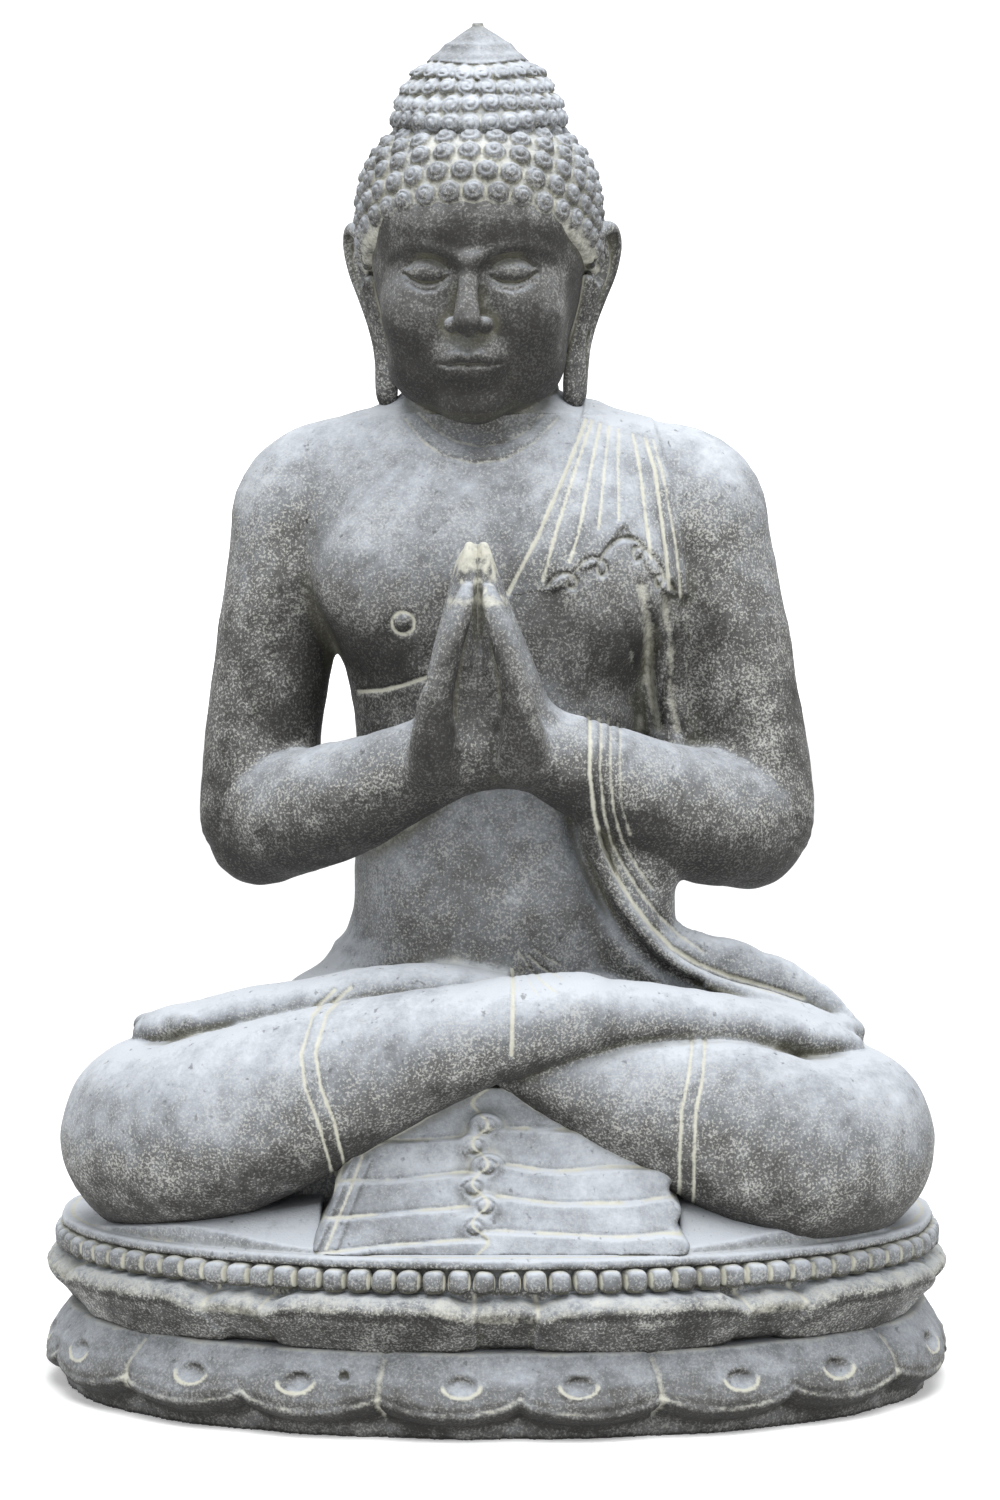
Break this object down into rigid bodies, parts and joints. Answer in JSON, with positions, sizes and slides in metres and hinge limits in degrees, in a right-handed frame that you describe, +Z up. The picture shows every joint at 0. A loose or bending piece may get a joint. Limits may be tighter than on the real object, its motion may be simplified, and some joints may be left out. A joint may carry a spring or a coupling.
{
  "type": "seated buddha statue",
  "caption": "Free-standing cast-stone garden statue of a cross-legged figure with palms pressed together, on an oval double-lotus pedestal with a beaded rim.",
  "frame": {"origin": "middle of the pedestal's oval underside, on the floor", "axes": "+Z up through the head, +X towards the figure's left hand side, -Y the way the figure faces"},
  "size_m": [0.6718, 0.4595, 0.9971],
  "materials": {
    "cast_stone": "matte, weathered, pale lime bloom in the cut lines",
    "mortar": "matte lime mortar",
    "zinc_plated_steel": "satin"
  },
  "bodies": {
    "root": {"lower_lotus": "cast_stone", "pedestal_mortar_bed": "mortar", "upper_lotus": "cast_stone", "bead_border": "cast_stone", "pleated_cloth": "cast_stone", "seat_mortar_bed": "mortar", "hips": "cast_stone", "right_leg": "cast_stone", "left_leg": "cast_stone", "right_foot": "cast_stone", "left_foot": "cast_stone", "waist_mortar_bed": "mortar", "torso": "cast_stone", "right_upper_arm": "cast_stone", "left_upper_arm": "cast_stone", "right_forearm": "cast_stone", "left_forearm": "cast_stone", "right_hand": "cast_stone", "left_hand": "cast_stone", "shoulder_sash": "cast_stone", "forearm_drape": "cast_stone", "neck_mortar_bed": "mortar", "head": "cast_stone", "hair_cap": "cast_stone", "topknot": "cast_stone", "right_ear": "cast_stone", "left_ear": "cast_stone", "forehead_mark": "cast_stone", "centre_rod": "zinc_plated_steel", "rod_nuts": "zinc_plated_steel", "rod_washers": "zinc_plated_steel", "pedestal_dowels": "zinc_plated_steel", "leg_dowels": "zinc_plated_steel", "foot_pins": "zinc_plated_steel", "shoulder_dowels": "zinc_plated_steel", "elbow_dowels": "zinc_plated_steel", "wrist_dowels": "zinc_plated_steel", "topknot_dowel": "zinc_plated_steel"}
  },
  "joints": []
}
